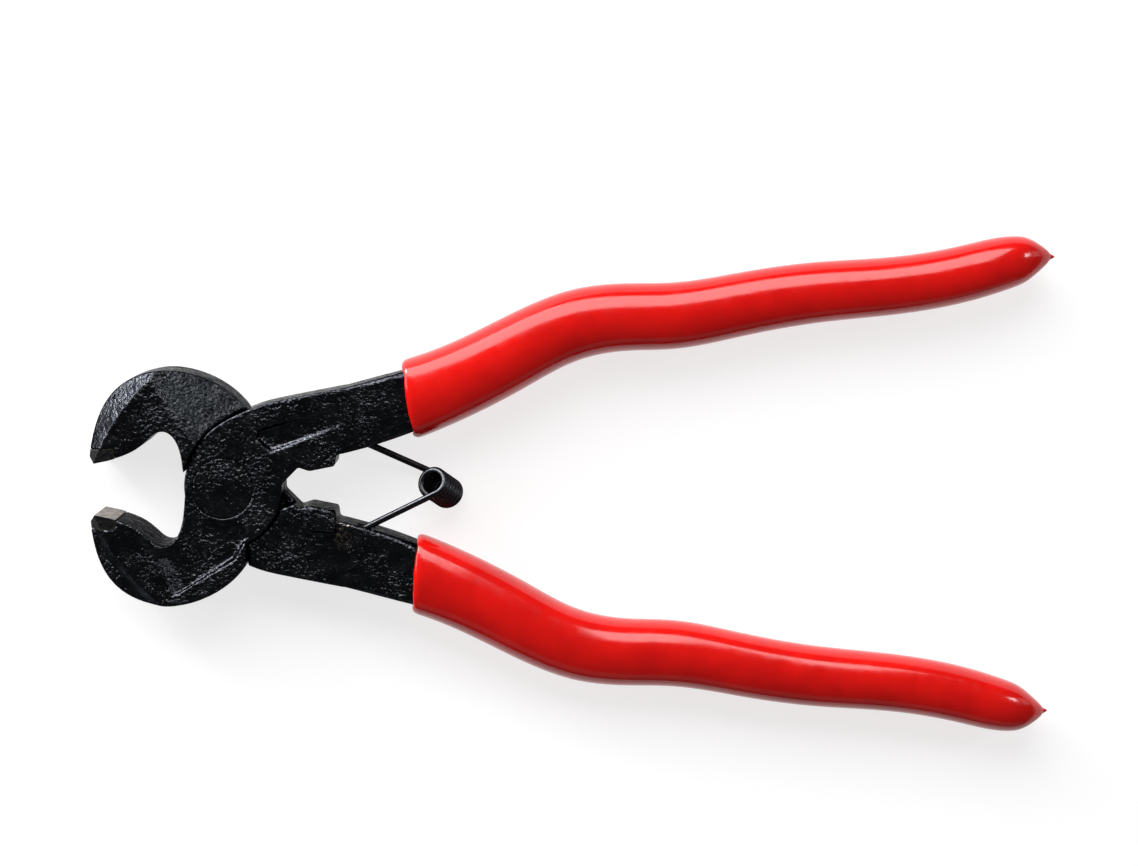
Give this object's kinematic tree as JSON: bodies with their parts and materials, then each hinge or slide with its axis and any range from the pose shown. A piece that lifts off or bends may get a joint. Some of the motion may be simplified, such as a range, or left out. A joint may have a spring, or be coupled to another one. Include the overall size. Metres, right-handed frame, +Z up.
{
  "type": "nipping pliers",
  "caption": "Spring-opened compound nipping pliers with carbide-tipped jaws, a riveted lap joint and dipped grips.",
  "frame": {"origin": "on the ground under the middle of the overall box, tool lying flat and fully open", "axes": "+X from the jaws to the handle ends, +Y towards the upper (front lever's) handle, +Z up along the rivet"},
  "size_m": [0.2, 0.1042, 0.015],
  "materials": {
    "forged_steel": "black enamel over a rough forging",
    "rivet_steel": "black enamel, flush ground",
    "carbide": "matte sintered",
    "braze": "dull brazing alloy",
    "red_dip": "glossy dipped vinyl",
    "spring_wire": "black oil-tempered"
  },
  "bodies": {
    "back": {"back_lever": "forged_steel", "rivet": "rivet_steel", "upper_tip": "carbide", "upper_tip_braze": "braze", "lower_grip": "red_dip"},
    "front": {"front_lever": "forged_steel", "lower_tip": "carbide", "lower_tip_braze": "braze", "upper_grip": "red_dip"},
    "spring_lower": {"spring_lower_half": "spring_wire"},
    "spring_upper": {"spring_upper_half": "spring_wire"}
  },
  "joints": [
    {"name": "jaw_pivot", "type": "hinge", "parent": "back", "child": "front", "pos_m": [-0.07268, 0, 0.0075], "axis": [0, 0, -1], "range_deg": [0, 22.4], "stiffness_Nm_per_rad": 0.8, "springref_deg": -14.32},
    {"name": "spring_leg_pivot", "type": "hinge", "parent": "back", "child": "spring_lower", "pos_m": [-0.04438, -0.00915, 0.0097], "axis": [0.0521, -0.0473, -0.9975], "range_deg": [0, 30.81]},
    {"name": "coil_wind", "type": "hinge", "parent": "spring_lower", "child": "spring_upper", "pos_m": [-0.02788, -0.00045, 0.0075], "axis": [0.1597, -0.0606, 0.9853], "range_deg": [0, 38.77], "deforming": ["spring_lower_half", "spring_upper_half"]}
  ],
  "couplings": [
    {"joint": "spring_leg_pivot", "follows": "jaw_pivot", "ratio": 1.3707},
    {"joint": "coil_wind", "follows": "jaw_pivot", "ratio": 1.7253}
  ]
}
